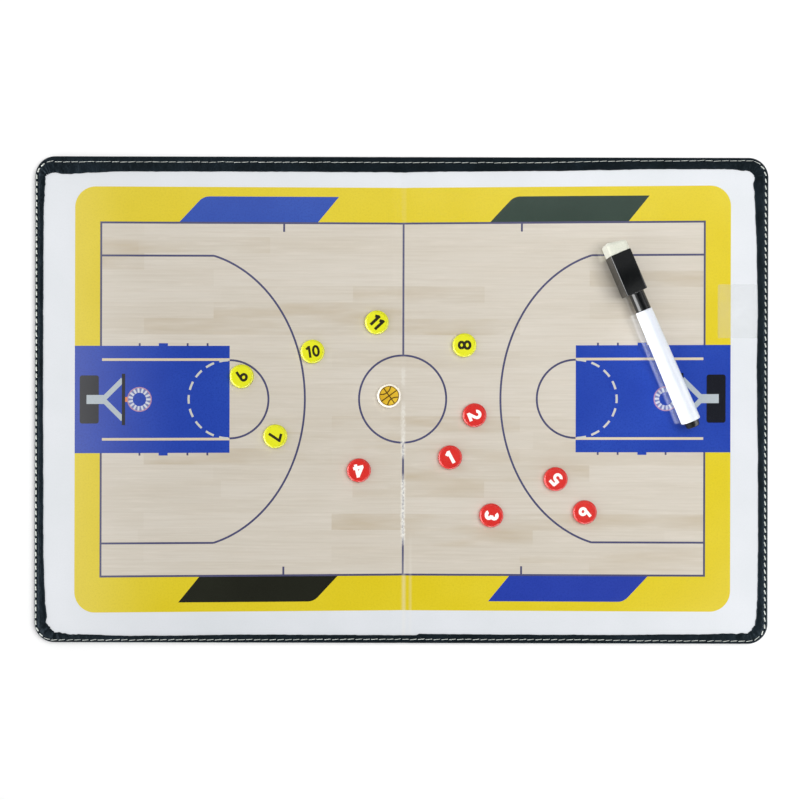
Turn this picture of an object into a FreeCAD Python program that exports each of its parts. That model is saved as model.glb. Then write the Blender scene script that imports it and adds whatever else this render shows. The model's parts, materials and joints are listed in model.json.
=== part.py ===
import FreeCAD, Part
import math
import os

V = FreeCAD.Vector
UP = V(0, 0, 1)
NEAR = 0.001

# Folding board, millimetres, flat on its back: X along the court, Y across it, Z up
BOARD_L = 460.0
BOARD_W = 305.0
CORNER_R = 12.5
LEAST_CORNER_R = 1.0
SPINE_W = 13.6

# Layers from the back up
SKIN_T = 1.0
CORE_T = 2.0
STEEL_T = 0.4
FILM_T = 0.4
EDGE_ROUND = 1.1

# Hem turned in over the edge of the printed film
HEM_TOP = 8.8
HEM_BOTTOM = 5.6
HEM_LEFT = 5.4
HEM_RIGHT = 6.6
FILM_TUCK = 3.0
LAYER_GAP = 0.3
STEEL_INSET = 4.0
FILM_DIP = 0.8

# Saddle stitch on the hem
STITCH_PITCH = 4.3
STITCH_L = 3.0
STITCH_R = 0.45
STITCH_IN_TOP = 3.4
STITCH_IN_BOTTOM = 2.2
STITCH_IN_SIDE = 2.0
CORNER_STITCH_ANGLES = (22.5, 45.0, 67.5)

# Clear patch near the right edge of the film
PATCH_L = 25.0
PATCH_W = 33.7
PATCH_T = 0.12
PATCH_Y = 56.2

# Magnetic counters
COUNTER_D = 15.0
COUNTER_H = 3.3
COUNTER_ROUND = 1.2
LABEL_T = 0.2
LABEL_MARGIN = 0.1
MAGNET_D = 12.0
MAGNET_T = 2.0
MAGNET_GAP = 0.1
COUNTER_AT = {
    "01": (30.6, -35.8),
    "02": (45.8, -9.4),
    "03": (56.5, -72.1),
    "04": (-26.5, -44.1),
    "05": (96.7, -49.3),
    "06": (115.0, -70.0),
    "07": (-78.9, -22.9),
    "08": (39.4, 34.4),
    "09": (-100.0, 14.6),
    "10": (-55.7, 30.2),
    "11": (-15.5, 48.6),
    "ball": (-7.7, 2.6),
}

# Dry-erase marker, measured along its own axis from the felt end
MARKER_AT = (132.0, 98.0)
MARKER_TURN = -66.75
ERASER_L = 7.3
ERASER_SKEW = 0.9
ERASER_INSET = 0.25
ERASER_ROUND = 2.4
CAP_L = 26.5
CAP_W = 13.6
CAP_H = 17.0
CAP_SHIFT = 1.05
CAP_ROUND = 0.8
SKIRT_D = 9.6
SKIRT_L = 12.0
SKIRT_WALL = 1.0
SKIRT_ROOT = 1.0
BARREL_L = 74.6
BARREL_FRONT_D = 10.5
BARREL_TAIL_D = 12.2
BARREL_WALL = 1.2
TAIL_BASE_D = 9.2
TAIL_D = 8.2
TAIL_L = 4.0
TAIL_ROUND = 1.2
TAIL_SPIGOT_L = 6.0
CAP_MAGNET_D = 8.0
CAP_MAGNET_T = 2.0
RUN_GAP = 0.3
PRESS_GAP = 0.05
SECTION_L = 22.0
SECTION_HELD = 7.0
SECTION_NOSE_L = 7.0
NIB_D = 3.2
NIB_OUT = 5.0
NIB_ROUND = 1.2
NOSE_END_D = 5.0
RESERVOIR_END_GAP = 2.0

FILM_TOP = SKIN_T + CORE_T + STEEL_T + FILM_T
FILM_BASE = FILM_TOP - FILM_T
RIM_TOP = FILM_TOP + SKIN_T
HALF_L = BOARD_L / 2
HALF_W = BOARD_W / 2
HALF_SPINE = SPINE_W / 2
CAP_AXIS_Z = CAP_H / 2
CAP_END = ERASER_L + CAP_L
SKIRT_END = CAP_END + SKIRT_L
BARREL_END = SKIRT_END + BARREL_L

os.makedirs("parts", exist_ok=True)


def save(shape, name):
    shape.exportStep("parts/" + name + ".step")


def box(x0, x1, y0, y1, z0, z1):
    return Part.makeBox(x1 - x0, y1 - y0, z1 - z0, V(x0, y0, z0))


def cylinder(diameter, z0, z1, x, y):
    return Part.makeCylinder(diameter / 2, z1 - z0, V(x, y, z0))


def prism(outline, z0, z1):
    """Upright solid on a closed plan outline."""
    corners = [V(x, y, z0) for x, y in outline]
    face = Part.Face(Part.makePolygon(corners + corners[:1]))
    return face.extrude(V(0, 0, z1 - z0))


def mirror_x(shape):
    return shape.mirror(V(0, 0, 0), V(1, 0, 0))


def leaf_plate(inset, z0, z1):
    """Right-hand leaf outline pulled in from its three free edges, square at the spine."""
    radius = max(CORNER_R - inset, LEAST_CORNER_R)
    plate = box(HALF_SPINE, HALF_L - inset, inset - HALF_W, HALF_W - inset, z0, z1)
    corners = [e for e in plate.Edges if upright_at(e, HALF_L - inset)]
    return plate.makeFillet(radius, corners)


def upright_at(edge, x):
    """True for an edge along Z that stands at this X."""
    span = edge.BoundBox
    return span.XLength < NEAR and span.YLength < NEAR and abs(span.XMin - x) < NEAR


def outer_rim_edges(shape):
    """Edges round the three free sides at the very top and the very bottom."""
    found = []
    for edge in shape.Edges:
        span = edge.BoundBox
        level = span.ZLength < NEAR and (span.ZMin < NEAR or span.ZMax > RIM_TOP - NEAR)
        at_spine = span.XMax < HALF_SPINE + NEAR
        if level and not at_spine:
            found.append(edge)
    return found


def leaf_skin(hem_side):
    """Back sheet, edge wall and turned-in hem of the right-hand leaf."""
    outer = leaf_plate(0.0, 0.0, RIM_TOP)
    outer = outer.makeFillet(EDGE_ROUND, outer_rim_edges(outer))
    pocket = leaf_plate(SKIN_T, SKIN_T, FILM_TOP)
    window = box(
        HALF_SPINE,
        HALF_L - hem_side,
        HEM_BOTTOM - HALF_W,
        HALF_W - HEM_TOP,
        FILM_TOP,
        RIM_TOP,
    )
    return outer.cut(pocket).cut(window)


def leaf_film(hem_side):
    """Printed film of the right-hand leaf, its edges tucked under the hem, its corners inside the cover."""
    film = box(
        HALF_SPINE,
        HALF_L - hem_side + FILM_TUCK,
        HEM_BOTTOM - FILM_TUCK - HALF_W,
        HALF_W - HEM_TOP + FILM_TUCK,
        FILM_BASE,
        FILM_TOP,
    )
    return film.common(leaf_plate(SKIN_T + LAYER_GAP, FILM_BASE, FILM_TOP))


def stitch(x, y, heading):
    """One thread bar lying on the hem, flat side down, turned to its heading from the X axis."""
    bar = Part.makeCylinder(STITCH_R, STITCH_L, V(0, 0, -STITCH_L / 2), UP, 180)
    bar.rotate(V(0, 0, 0), V(1, 0, 0), 90)
    bar.rotate(V(0, 0, 0), UP, 90 + heading)
    bar.translate(V(x, y, RIM_TOP))
    return bar


def spaced(start, end):
    """Stitch centres between two ends, at the pitch nearest to the nominal one."""
    count = max(2, round((end - start) / STITCH_PITCH) + 1)
    step = (end - start) / (count - 1)
    return [start + i * step for i in range(count)]


def leaf_stitches():
    """Stitch bars along the three free edges of the right-hand leaf."""
    bars = []
    first_x = HALF_SPINE + STITCH_PITCH / 2
    last_x = HALF_L - CORNER_R
    last_y = HALF_W - CORNER_R
    for x in spaced(first_x, last_x):
        bars.append(stitch(x, HALF_W - STITCH_IN_TOP, 0))
        bars.append(stitch(x, STITCH_IN_BOTTOM - HALF_W, 0))
    for y in spaced(-last_y, last_y):
        bars.append(stitch(HALF_L - STITCH_IN_SIDE, y, 90))
    for angle in CORNER_STITCH_ANGLES:
        turn = math.radians(angle)
        x = last_x + (CORNER_R - STITCH_IN_SIDE) * math.cos(turn)
        rise_top = (CORNER_R - STITCH_IN_TOP) * math.sin(turn)
        rise_bottom = (CORNER_R - STITCH_IN_BOTTOM) * math.sin(turn)
        bars.append(stitch(x, last_y + rise_top, angle + 90))
        bars.append(stitch(x, -last_y - rise_bottom, 90 - angle))
    return Part.makeCompound(bars)


def spine_cover():
    """Soft strip of the cover between the two leaves, with its hem at both ends."""
    outer = box(-HALF_SPINE, HALF_SPINE, -HALF_W, HALF_W, 0.0, RIM_TOP)
    ends = [e for e in outer.Edges if e.BoundBox.XLength > SPINE_W - NEAR]
    outer = outer.makeFillet(EDGE_ROUND, ends)
    pocket = box(
        -HALF_SPINE,
        HALF_SPINE,
        SKIN_T - HALF_W,
        HALF_W - SKIN_T,
        SKIN_T,
        FILM_TOP,
    )
    window = box(
        -HALF_SPINE,
        HALF_SPINE,
        HEM_BOTTOM - HALF_W,
        HALF_W - HEM_TOP,
        FILM_TOP,
        RIM_TOP,
    )
    return outer.cut(pocket).cut(window)


def spine_film():
    """Film strip over the spine, dipping between the two stiff boards."""
    top = Part.BSplineCurve()
    top.interpolate(
        Points=[V(-HALF_SPINE, 0, FILM_TOP), V(0, 0, FILM_TOP - FILM_DIP), V(HALF_SPINE, 0, FILM_TOP)],
        Tangents=[V(1, 0, 0), V(1, 0, 0), V(1, 0, 0)],
        TangentFlags=[True, True, True],
    )
    upper = top.toShape()
    lower = upper.copy()
    lower.translate(V(0, 0, -FILM_T))
    left = Part.makeLine(V(-HALF_SPINE, 0, FILM_TOP), V(-HALF_SPINE, 0, FILM_BASE))
    right = Part.makeLine(V(HALF_SPINE, 0, FILM_TOP), V(HALF_SPINE, 0, FILM_BASE))
    face = Part.Face(Part.Wire(Part.__sortEdges__([upper, right, lower, left])))
    start = HEM_BOTTOM - FILM_TUCK - HALF_W
    end = HALF_W - HEM_TOP + FILM_TUCK
    face.translate(V(0, start, 0))
    return face.extrude(V(0, end - start, 0))


def spine_stitches():
    """Stitch bars across the spine, in line with those of the leaves."""
    bars = []
    for x in spaced(STITCH_PITCH / 2 - HALF_SPINE, HALF_SPINE - STITCH_PITCH / 2):
        bars.append(stitch(x, HALF_W - STITCH_IN_TOP, 0))
        bars.append(stitch(x, STITCH_IN_BOTTOM - HALF_W, 0))
    return Part.makeCompound(bars)


def counter_shell(x, y):
    """Moulded disc with a rounded upper edge, hollow below for its magnet."""
    disc = cylinder(COUNTER_D, FILM_TOP, FILM_TOP + COUNTER_H, x, y)
    rim = [e for e in disc.Edges if e.BoundBox.ZMin > FILM_TOP + COUNTER_H - NEAR]
    disc = disc.makeFillet(COUNTER_ROUND, rim)
    return disc.cut(cylinder(MAGNET_D + 2 * PRESS_GAP, FILM_TOP, FILM_TOP + MAGNET_T + MAGNET_GAP, x, y))


def counter_magnet(x, y):
    return cylinder(MAGNET_D, FILM_TOP + MAGNET_GAP, FILM_TOP + MAGNET_T + MAGNET_GAP, x, y)


def counter_label(x, y):
    flat_d = COUNTER_D - 2 * COUNTER_ROUND
    return cylinder(flat_d - 2 * LABEL_MARGIN, FILM_TOP + COUNTER_H, FILM_TOP + COUNTER_H + LABEL_T, x, y)


def turned(u0, u1, d0, d1):
    """Round piece on the marker axis, from one diameter to the other."""
    if abs(d0 - d1) < NEAR:
        return Part.makeCylinder(d0 / 2, u1 - u0, V(u0, 0, CAP_AXIS_Z), V(1, 0, 0))
    return Part.makeCone(d0 / 2, d1 / 2, u1 - u0, V(u0, 0, CAP_AXIS_Z), V(1, 0, 0))


def place_marker(shape):
    shape.rotate(V(0, 0, 0), UP, MARKER_TURN)
    shape.translate(V(MARKER_AT[0], MARKER_AT[1], FILM_TOP))
    return shape


def marker_pieces():
    """The marker lying along X with its flat side down, as a dictionary of pieces."""
    section_d = SKIRT_D - 2 * SKIRT_WALL - 2 * RUN_GAP
    reservoir_d = BARREL_FRONT_D - 2 * BARREL_WALL - 2 * RUN_GAP
    nose_base = SKIRT_END + SECTION_HELD - SECTION_L
    nose_tip = nose_base - SECTION_NOSE_L
    nib_tip = nose_tip - NIB_OUT
    bore_end = nib_tip - 2 * RUN_GAP
    magnet_u = ERASER_L + CAP_L / 2
    side_low = -CAP_W / 2 - CAP_SHIFT
    side_high = CAP_W / 2 - CAP_SHIFT
    felt_low = side_low + ERASER_INSET
    felt_high = side_high - ERASER_INSET

    felt_plan = (
        (-ERASER_SKEW, felt_low),
        (ERASER_L, felt_low),
        (ERASER_L, felt_high),
        (ERASER_SKEW, felt_high),
    )
    eraser = prism(felt_plan, ERASER_INSET, CAP_H - ERASER_INSET)
    felt_edges = [e for e in eraser.Edges if e.BoundBox.XMax < ERASER_L - NEAR]
    eraser = eraser.makeFillet(ERASER_ROUND, felt_edges)

    cap = box(ERASER_L, CAP_END, side_low, side_high, 0.0, CAP_H)
    long_edges = [e for e in cap.Edges if e.BoundBox.XLength > CAP_L - NEAR]
    cap = cap.makeFillet(CAP_ROUND, long_edges)
    cap = cap.fuse(turned(CAP_END - SKIRT_ROOT, SKIRT_END, SKIRT_D, SKIRT_D)).removeSplitter()
    bore_d = SKIRT_D - 2 * SKIRT_WALL
    cap = cap.cut(turned(bore_end, SKIRT_END, bore_d, bore_d))
    pocket_d = CAP_MAGNET_D + 2 * PRESS_GAP
    cap = cap.cut(cylinder(pocket_d, 0.0, CAP_MAGNET_T + MAGNET_GAP, magnet_u, -CAP_SHIFT))
    cap_magnet = cylinder(CAP_MAGNET_D, MAGNET_GAP, CAP_MAGNET_T + MAGNET_GAP, magnet_u, -CAP_SHIFT)

    barrel = turned(SKIRT_END, BARREL_END, BARREL_FRONT_D, BARREL_TAIL_D)
    inner_d = BARREL_FRONT_D - 2 * BARREL_WALL
    barrel = barrel.cut(turned(SKIRT_END + SECTION_HELD, BARREL_END, inner_d, inner_d))
    barrel = barrel.cut(turned(SKIRT_END, SKIRT_END + SECTION_HELD, section_d, section_d))

    section = turned(nose_base, SKIRT_END + SECTION_HELD, section_d, section_d)
    section = section.fuse(turned(nose_tip, nose_base, NOSE_END_D, section_d))
    section = section.cut(turned(nose_tip, SKIRT_END + SECTION_HELD, NIB_D, NIB_D))

    nib = turned(nib_tip, SKIRT_END + SECTION_HELD, NIB_D, NIB_D)
    tip_edges = [e for e in nib.Edges if e.BoundBox.XMax < nib_tip + NEAR]
    nib = nib.makeFillet(NIB_ROUND, tip_edges)

    reservoir_end = BARREL_END - TAIL_SPIGOT_L
    reservoir = turned(
        SKIRT_END + SECTION_HELD,
        reservoir_end - RESERVOIR_END_GAP,
        reservoir_d,
        reservoir_d,
    )

    spigot_d = inner_d - 2 * PRESS_GAP
    tail = turned(BARREL_END, BARREL_END + TAIL_L, TAIL_BASE_D, TAIL_D)
    tail = tail.fuse(turned(reservoir_end, BARREL_END, spigot_d, spigot_d))
    end_edges = [e for e in tail.Edges if e.BoundBox.XMin > BARREL_END + TAIL_L - NEAR]
    tail = tail.makeFillet(TAIL_ROUND, end_edges)

    return {
        "marker_eraser": eraser,
        "marker_cap": cap,
        "marker_cap_magnet": cap_magnet,
        "marker_barrel": barrel,
        "marker_front_section": section,
        "marker_nib": nib,
        "marker_ink_reservoir": reservoir,
        "marker_tail_plug": tail,
    }


for side, hem_side in (("right", HEM_RIGHT), ("left", HEM_LEFT)):
    inner = SKIN_T + LAYER_GAP
    leaf = {
        "cover_skin": leaf_skin(hem_side),
        "stiff_board": leaf_plate(inner, SKIN_T, SKIN_T + CORE_T),
        "steel_sheet": leaf_plate(STEEL_INSET, SKIN_T + CORE_T, FILM_BASE),
        "print_film": leaf_film(hem_side),
        "edge_stitching": leaf_stitches(),
    }
    for piece, shape in leaf.items():
        save(shape if side == "right" else mirror_x(shape), side + "_" + piece)

save(spine_cover(), "spine_cover_strip")
save(spine_film(), "spine_film_strip")
save(spine_stitches(), "spine_stitching")

patch_end = HALF_L - HEM_RIGHT
save(
    box(
        patch_end - PATCH_L,
        patch_end,
        PATCH_Y - PATCH_W / 2,
        PATCH_Y + PATCH_W / 2,
        FILM_TOP,
        FILM_TOP + PATCH_T,
    ),
    "clear_patch",
)

for tag, (x, y) in COUNTER_AT.items():
    save(counter_shell(x, y), "counter_" + tag + "_shell")
    save(counter_magnet(x, y), "counter_" + tag + "_magnet")
    save(counter_label(x, y), "counter_" + tag + "_label")

for name, shape in marker_pieces().items():
    save(place_marker(shape), name)
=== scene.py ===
import json
import math
from collections import namedtuple

import bpy
import numpy as np
from mathutils import Matrix, Vector, noise
from mathutils.geometry import delaunay_2d_cdt

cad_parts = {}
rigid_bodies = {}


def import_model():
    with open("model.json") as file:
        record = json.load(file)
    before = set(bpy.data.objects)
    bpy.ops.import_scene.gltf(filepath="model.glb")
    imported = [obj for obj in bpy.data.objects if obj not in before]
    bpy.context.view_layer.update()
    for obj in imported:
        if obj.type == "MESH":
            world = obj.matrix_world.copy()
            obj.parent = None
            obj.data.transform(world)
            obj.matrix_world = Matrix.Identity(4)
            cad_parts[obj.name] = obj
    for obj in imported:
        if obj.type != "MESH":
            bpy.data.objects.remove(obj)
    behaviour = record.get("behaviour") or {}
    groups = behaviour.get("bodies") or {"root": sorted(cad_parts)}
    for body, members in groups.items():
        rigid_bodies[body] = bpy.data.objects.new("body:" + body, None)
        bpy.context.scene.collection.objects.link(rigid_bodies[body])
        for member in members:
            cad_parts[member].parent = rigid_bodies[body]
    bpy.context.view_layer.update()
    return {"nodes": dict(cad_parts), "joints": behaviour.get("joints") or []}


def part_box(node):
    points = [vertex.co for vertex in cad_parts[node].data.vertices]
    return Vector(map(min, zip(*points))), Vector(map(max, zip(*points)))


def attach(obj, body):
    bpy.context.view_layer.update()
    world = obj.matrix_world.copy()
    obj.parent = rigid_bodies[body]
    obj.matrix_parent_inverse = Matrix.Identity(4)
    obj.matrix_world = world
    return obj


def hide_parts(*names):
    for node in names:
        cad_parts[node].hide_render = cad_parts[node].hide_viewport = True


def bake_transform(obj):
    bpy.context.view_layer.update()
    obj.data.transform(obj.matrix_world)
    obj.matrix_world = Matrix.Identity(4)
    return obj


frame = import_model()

# Folding basketball tactics board. Lengths are millimetres in the frame's axes; meshes, materials,
# lamps and floor are in metres.
MM = 0.001
NEAR = 0.01


def corners(node):
    """Lowest and highest corner of a CAD node, in millimetres."""
    low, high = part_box(node)
    return low / MM, high / MM


def points_of(node):
    """All points of a CAD node, in millimetres."""
    return np.array([v.co for v in frame["nodes"][node].data.vertices]) / MM


# Board sizes, read from the frame
SKIN_LOW, SKIN_HIGH = corners("right_cover_skin")
HALF_L = SKIN_HIGH.x
HALF_W = SKIN_HIGH.y
RIM_TOP = SKIN_HIGH.z
HALF_SPINE = SKIN_LOW.x
EDGE_POINTS = [p for p in points_of("right_cover_skin") if p[0] > HALF_L - NEAR]
CORNER_R = HALF_W - max(p[1] for p in EDGE_POINTS)
EDGE_ROUND = min(p[2] for p in EDGE_POINTS)
FILM_LOW = corners("left_print_film")[0]
FILM_HIGH = corners("right_print_film")[1]
FILM_TOP = FILM_HIGH.z

# Cover: hem widths along the sides, as pairs of place and width
HEM_WIDTHS = {
    "bottom": (
        (-217, 6.3), (-208, 5.1), (-196, 4.9), (-177, 4.2), (-150, 4.3), (-95, 5.1), (-32, 5.0),
        (9.6, 4.9), (11.6, 5.8), (62, 5.5), (124, 5.4), (187, 5.9), (206, 6.4), (217, 6.6),
    ),
    "right": (
        (-140, 7.6), (-135, 7.0), (-122, 6.3), (-94, 6.0), (-75, 6.0), (-38, 6.2), (0, 6.8),
        (19, 7.0), (60, 6.5), (88, 7.1), (107, 7.6), (116, 8.1), (126, 8.5), (136, 9.4), (140, 8.6),
    ),
    "top": (
        (-217, 10.4), (-212, 11.2), (-206, 11.0), (-196, 10.3), (-177, 9.5), (-95, 9.4), (0, 9.6),
        (30, 9.1), (93, 8.6), (124, 8.0), (156, 7.3), (206, 7.2), (215, 8.0), (217, 8.3),
    ),
    "left": (
        (-140, 7.2), (-136, 7.8), (-129, 6.9), (-113, 6.1), (-94, 5.5), (-56, 5.4), (0, 5.1),
        (50, 5.1), (116, 5.2), (131, 5.9), (137, 6.4), (140, 6.3),
    ),
}
# How far each inner corner of the hem fills out to a square, from a straight cut at 0
HEM_CORNERS = {
    ("bottom", "right"): 0.25, ("right", "top"): 0.5, ("top", "left"): 0.7, ("left", "bottom"): 0.1,
}
# Roll of the hem down to the film: share of its free width from the inner edge, and drop
HEM_ROLL = ((0.75, 0.0), (0.5, 0.0), (0.22, 0.03), (0.06, 0.2), (0.0, 0.5))
HEM_TUCK = 0.15
HEM_WAVE = 0.18
HEM_WAVE_RATES = (0.09, 0.32)
HEM_SAG = 0.3
HEM_UNEVEN = 0.07
HEM_UNEVEN_RATE = 0.16
PLEAT = 0.6
PLEAT_RATE = 0.33
PLEAT_FINE = 0.6
PLEAT_FINE_RATE = 0.8
PLEAT_REACH = 40.0
PLEAT_FULL = 16.0
GROOVE_HALF = 0.75
GROOVE_DEEP = 0.25
GROOVE_ROOM = 1.1
SPINE_STEP = 0.85
SPINE_STEPS_PAST = 6
EDGE_STEP = 1.7
CORNER_STEPS = 26
BACK_MARGIN = 4.0
CREASE_AT = 6.0
CREASE_HALF = 0.8
CREASE_DEEP = 0.45

# Sewing along each side: pitch, stitch length, thread radius, sideways wander, slant
Seam = namedtuple("Seam", "pitch length radius wander slant")
SEAMS = {
    "bottom": Seam(4.9, 4.4, 0.22, 0.3, 0.1),
    "right": Seam(4.3, 3.2, 0.41, 0.12, 0.26),
    "top": Seam(5.1, 4.8, 0.2, 0.4, 0.05),
    "left": Seam(4.3, 3.2, 0.47, 0.08, 0.06),
}

# Distance of the sewing from the edge, at places along each side
SEAM_INSETS = {
    "bottom": ((-220.0, 1.6), (-100.0, 2.0), (-10.0, 2.5), (120.0, 2.5), (150.0, 2.0), (220.0, 1.9)),
    "right": ((-140.0, 1.9), (140.0, 1.9)),
    "top": ((-220.0, 3.6), (75.0, 3.6), (150.0, 2.2), (220.0, 2.0)),
    "left": ((-140.0, 1.1), (140.0, 1.1)),
}

# Film: rounded under the hem, a shallow dip over the spine, a sharp fold line and a fainter one beside it
FILM_CORNER_R = 8.0
FILM_STEP = 0.45
FILM_ROW = 5.0
FILM_DIP = 0.35
FOLD_X = 1.1
FOLD_HALF = 0.7
FOLD_RISE = 0.07
SECOND_FOLD_X = 5.8
SECOND_FOLD_RISE = 0.04
FOLD_WANDER = 0.25
FOLD_WANDER_RATE = 0.05
FOLD_LEAST = 0.6
FOLD_UNEVEN = 0.8
FOLD_UNEVEN_RATE = 0.09

# Printed court, measured from its middle: u runs outwards along the board, v across it
PRINT_X = 0.75
PRINT_Y = 0.6
PRINT_RISE = 0.0038
PRINT_FLARE = 0.009
BORDER_U = 205.8
BORDER_V = 132.55
BORDER_R = 13.0
COURT_U = 189.4
COURT_V = 110.15
LINE_W = 1.25
CENTRE_R = 27.35
CENTRE_SHIFT = 0.35
TICK_U = 74.6
TICK_L = 5.5
KEY_U = 108.6
KEY_V = 33.4
THREE_V = 89.6
THREE_U = 137.5
THREE_R = 92.5
THREE_SQUEEZE = 0.823
FREE_R = 24.4
LANE_V = 24.8
LANE_W = 1.6
DASH_ARC = 12.6
DASH_STEP = 20.4
DASHES = 9
DASH_W = 1.35
DASH_STRETCH = 1.055
MARK_H = 1.6
MARKS_U = (165.1, 135.0, 122.5)
MARK_W = 1.2
BLOCK_U = (147.4, 153.1)
LANE_SHORT = 0.7
BANNER_L = 87.0
BANNER_H = 16.5
BANNER_LEAN = 15.8
BANNER_TRIM = 2.2
BANNER_R = 9.0
# Each plate's ink, the place where it starts, and 1 above the court or -1 below it
BANNERS = (
    ("banner_blue", -140.8, 1), ("banner_green", 54.2, 1),
    ("banner_dark", -127.0, -1), ("banner_deep", 67.5, -1),
)

# Basket seen from above, in the same measures
BASE_U = (190.7, 202.7)
BASE_V = 15.0
BASE_R = 1.6
STEM_U = (187.0, 198.4)
STEM_V = 2.8
ARM_END = (175.6, 12.3)
ARM_W = 3.2
BACKBOARD_U = 175.2
BACKBOARD_V = 16.0
BACKBOARD_W = 2.1
NECK_W = 3.0
RING_U = 165.2
RING_R = 5.6
RING_W = 2.8
RING_EDGE = 0.7
NET_BARS = 15
NET_BAR_W = 1.25

# Camera over the middle of the photograph's frame
CAMERA_X = -0.9
CAMERA_UP = 700.0
VIEW_WIDTH = 502.1
CAMERA_ROLL = 0.14


def srgb(red, green, blue):
    """Linear colour with alpha, from 0 to 255 display values."""
    parts = [c / 255 for c in (red, green, blue)]
    return tuple(c / 12.92 if c <= 0.04045 else ((c + 0.055) / 1.055) ** 2.4 for c in parts) + (1.0,)


# Material building

CLOUD_SPAN = (0.3, 0.7)
EVEN = (1.0, 1.0, 1.0)


class Nodes:
    """Short ways to add and join the nodes of a tree."""

    def __init__(self, tree):
        self.tree = tree

    def node(self, kind, settings=None, **inputs):
        """A new node; an input is a number, a colour or another node's output."""
        made = self.tree.nodes.new("ShaderNode" + kind)
        for key, value in (settings or {}).items():
            setattr(made, key, value)
        for key, value in inputs.items():
            self.feed(made.inputs[key.replace("_", " ")], value)
        return made

    def feed(self, socket, value):
        if isinstance(value, bpy.types.NodeSocket):
            self.tree.links.new(value, socket)
        else:
            socket.default_value = value

    def math(self, operation, first, second=0.0):
        made = self.node("Math", {"operation": operation})
        self.feed(made.inputs[0], first)
        self.feed(made.inputs[1], second)
        return made.outputs[0]

    def ramp(self, value, low, high, start=0.0, end=1.0, kind="LINEAR"):
        """The value carried from one span of numbers to another, held at its ends."""
        spans = {"From_Min": start, "From_Max": end, "To_Min": low, "To_Max": high}
        return self.node("MapRange", {"interpolation_type": kind}, Value=value, **spans).outputs[0]


class Shader(Nodes):
    """A material with a Principled surface."""

    def __init__(self, name, **values):
        self.material = bpy.data.materials.new(name)
        self.material.use_nodes = True
        super().__init__(self.material.node_tree)
        self.surface = self.tree.nodes["Principled BSDF"]
        for socket, value in values.items():
            self.surface.inputs[socket.replace("_", " ")].default_value = value

    def paint(self, socket, value):
        self.feed(self.surface.inputs[socket], value)

    def place(self, stretch=EVEN, uv=None):
        """Coordinates in metres: the piece's own, or its flat print map."""
        if uv:
            source = self.node("UVMap", {"uv_map": uv}).outputs[0]
        else:
            source = self.node("TexCoord").outputs["Object"]
        return self.node("Mapping", Vector=source, Scale=stretch).outputs[0]

    def noise(self, where, scale, detail=3.0, roughness=0.55):
        made = self.node("TexNoise", Vector=where, Scale=scale, Detail=detail, Roughness=roughness)
        return made.outputs["Fac"]

    def mix(self, share, first, second):
        made = self.node("Mix", {"data_type": "RGBA"})
        for socket, value in zip((0, 6, 7), (share, first, second)):
            self.feed(made.inputs[socket], value)
        return made.outputs[2]

    def clouded(self, clouds, first, second):
        """Two tones in the clouds of a noise."""
        return self.mix(self.ramp(clouds, 0.0, 1.0, *CLOUD_SPAN), first, second)

    def stripe(self, along, at, half, fade):
        """1 on a band about a place in millimetres, falling to 0 over the fade beside it."""
        away = self.math("ABSOLUTE", self.math("SUBTRACT", along, at * MM))
        return self.ramp(away, 1.0, 0.0, half * MM, (half + fade) * MM)

    def bump(self, height, distance, strength=1.0, onto=None):
        made = self.node("Bump", Height=height, Distance=distance, Strength=strength)
        if onto is not None:
            self.feed(made.inputs["Normal"], onto)
        return made.outputs[0]


PRINT_MAP = "Print"
FILM_ROUGH = 0.35
FILM_SHEEN = 0.05
FILM_COAT_ROUGH = 0.08
FILM_COAT_IOR = 2.2
# White along the fold: ink rubbed off, with painted glints and painted highlights on the crease
FOLD_RUB_AND_HIGHLIGHT_WHITE = srgb(238, 236, 228)


def film_surface(name):
    """The laminated film that all the print shares: a clear gloss with faint ripples."""
    shader = Shader(
        name,
        Roughness=FILM_ROUGH,
        Specular_IOR_Level=FILM_SHEEN,
        Coat_Weight=1.0,
        Coat_Roughness=FILM_COAT_ROUGH,
        Coat_IOR=FILM_COAT_IOR,
    )
    flat = shader.place(uv=PRINT_MAP)
    ripples = shader.noise(flat, 14.0, 2.0)
    peel = shader.noise(flat, 420.0, 2.0)
    rippled = shader.bump(ripples, 0.0008, 0.3)
    shader.paint("Normal", shader.bump(peel, 0.00004, 0.3, rippled))
    return shader, flat


# Stretches of the fold where the print is partly rubbed white and partly painted with glints: place along
# it, half length, fade and strength
FOLD_RUB_AND_GLINT = (
    (-69.0, 17.0, 7.0, 1.0), (-29.5, 4.5, 4.0, 0.85), (-14.0, 9.0, 6.0, 0.6), (14.5, 3.5, 4.0, 0.45),
)
FOLD_RUB_AND_GLINT_LEAST = 0.06
FOLD_BREADTH = 0.6
FOLD_FADE = 1.2
# Painted highlight bands on the fold lines near the lower edge: place, half breadth and fade across the
# fold, strength at the edge and past it, and the places along the fold between which it drops
FOLD_HIGHLIGHT_BANDS = (
    (FOLD_X + 0.6, 0.3, 1.5, 0.28, 0.05, -112.0, -95.0),
    (SECOND_FOLD_X, 0.2, 1.2, 0.15, 0.0, -100.0, -80.0),
)


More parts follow.
